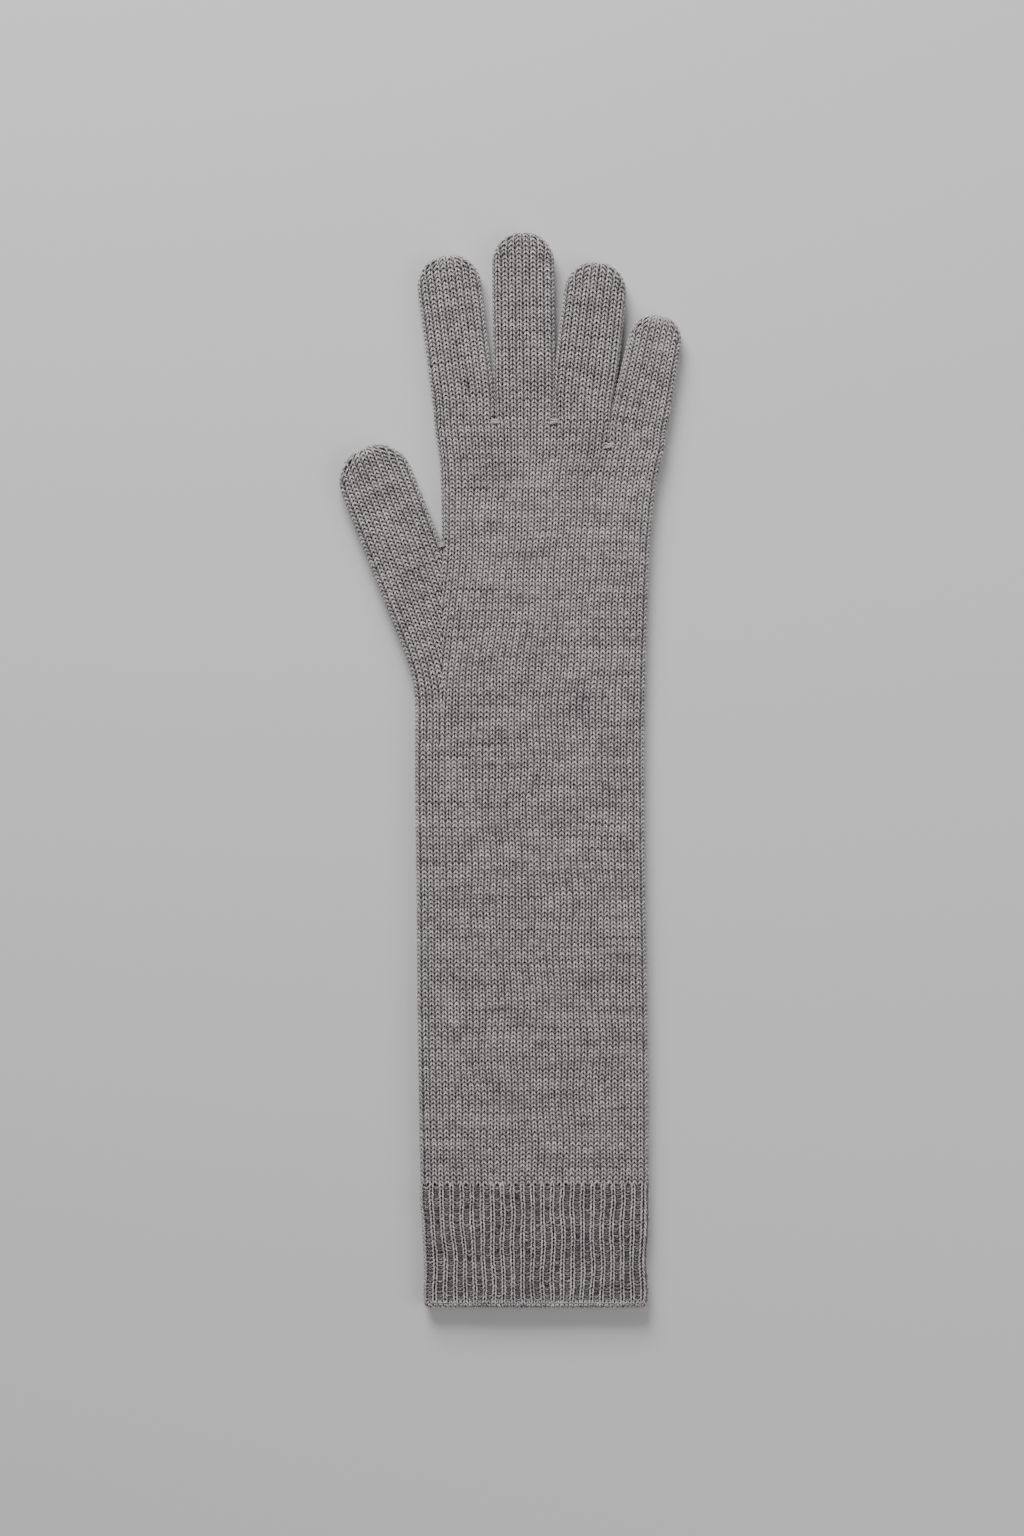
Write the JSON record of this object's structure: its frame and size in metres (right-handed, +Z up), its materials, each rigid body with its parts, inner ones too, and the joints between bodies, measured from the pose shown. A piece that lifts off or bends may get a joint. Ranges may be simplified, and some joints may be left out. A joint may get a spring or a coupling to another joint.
{
  "type": "knitted glove",
  "caption": "Long knitted wool glove lying flat: ribbed cuff, forearm tube, palm and hollow fingers and thumb that fold at the wrist, knuckles and finger joints.",
  "frame": {"origin": "middle of the glove's outline, on the surface it lies on", "axes": "+Y from the cuff towards the fingertips, +X across the hand towards the little finger, +Z up out of the palm side"},
  "size_m": [0.142, 0.4448, 0.0093],
  "materials": {
    "plain_knit": "matte grey melange wool in plain knitting, slightly fuzzy",
    "rib_knit": "matte grey melange wool in one by one rib, slightly fuzzy",
    "linked_stitches": "matte grey wool drawn tight over the crotches"
  },
  "bodies": {
    "forearm": {"forearm_sleeve": "plain_knit"},
    "cuff": {"rib_cuff": "rib_knit", "cuff_welt": "rib_knit"},
    "palm": {"five_finger_body": "plain_knit", "four_finger_body": "plain_knit", "three_finger_body": "plain_knit", "thumb_root": "plain_knit", "index_root": "plain_knit", "middle_root": "plain_knit", "ring_root": "plain_knit", "little_root": "plain_knit", "thumb_join": "linked_stitches", "index_middle_join": "linked_stitches", "middle_ring_join": "linked_stitches", "ring_little_join": "linked_stitches"},
    "thumb_lower": {"thumb_shaft": "plain_knit"},
    "thumb_upper": {"thumb_tip": "plain_knit"},
    "index_lower": {"index_shaft": "plain_knit"},
    "index_upper": {"index_tip": "plain_knit"},
    "middle_lower": {"middle_shaft": "plain_knit"},
    "middle_upper": {"middle_tip": "plain_knit"},
    "ring_lower": {"ring_shaft": "plain_knit"},
    "ring_upper": {"ring_tip": "plain_knit"},
    "little_lower": {"little_shaft": "plain_knit"},
    "little_upper": {"little_tip": "plain_knit"}
  },
  "joints": [
    {"name": "cuff_fold", "type": "hinge", "parent": "forearm", "child": "cuff", "pos_m": [0.00787, -0.1718, 0.009], "axis": [-1, 0, 0], "range_deg": [0, 165]},
    {"name": "wrist_fold", "type": "hinge", "parent": "forearm", "child": "palm", "pos_m": [0.00787, 0.02, 0.009], "axis": [1, 0, 0], "range_deg": [0, 90]},
    {"name": "thumb_fold", "type": "hinge", "parent": "palm", "child": "thumb_lower", "pos_m": [-0.03551, 0.09633, 0.009], "axis": [0.1896, 0.9819, 0], "range_deg": [0, 60]},
    {"name": "thumb_bend", "type": "hinge", "parent": "thumb_lower", "child": "thumb_upper", "pos_m": [-0.05036, 0.10597, 0.009], "axis": [0.9298, 0.3681, 0], "range_deg": [0, 70]},
    {"name": "index_fold", "type": "hinge", "parent": "palm", "child": "index_lower", "pos_m": [-0.02054, 0.1516, 0.009], "axis": [1, 0, 0], "range_deg": [0, 80]},
    {"name": "index_bend", "type": "hinge", "parent": "index_lower", "child": "index_upper", "pos_m": [-0.02345, 0.17796, 0.009], "axis": [1, 0, 0], "range_deg": [0, 80]},
    {"name": "middle_fold", "type": "hinge", "parent": "palm", "child": "middle_lower", "pos_m": [0.00562, 0.1516, 0.009], "axis": [1, 0, 0], "range_deg": [0, 80]},
    {"name": "middle_bend", "type": "hinge", "parent": "middle_lower", "child": "middle_upper", "pos_m": [0.00562, 0.18204, 0.009], "axis": [1, 0, 0], "range_deg": [0, 80]},
    {"name": "ring_fold", "type": "hinge", "parent": "palm", "child": "ring_lower", "pos_m": [0.03031, 0.1516, 0.009], "axis": [1, 0, 0], "range_deg": [0, 80]},
    {"name": "ring_bend", "type": "hinge", "parent": "ring_lower", "child": "ring_upper", "pos_m": [0.03251, 0.17671, 0.009], "axis": [1, 0, 0], "range_deg": [0, 80]},
    {"name": "little_fold", "type": "hinge", "parent": "palm", "child": "little_lower", "pos_m": [0.05355, 0.1416, 0.009], "axis": [1, 0, 0], "range_deg": [0, 80]},
    {"name": "little_bend", "type": "hinge", "parent": "little_lower", "child": "little_upper", "pos_m": [0.05707, 0.16155, 0.009], "axis": [1, 0, 0], "range_deg": [0, 80]}
  ]
}
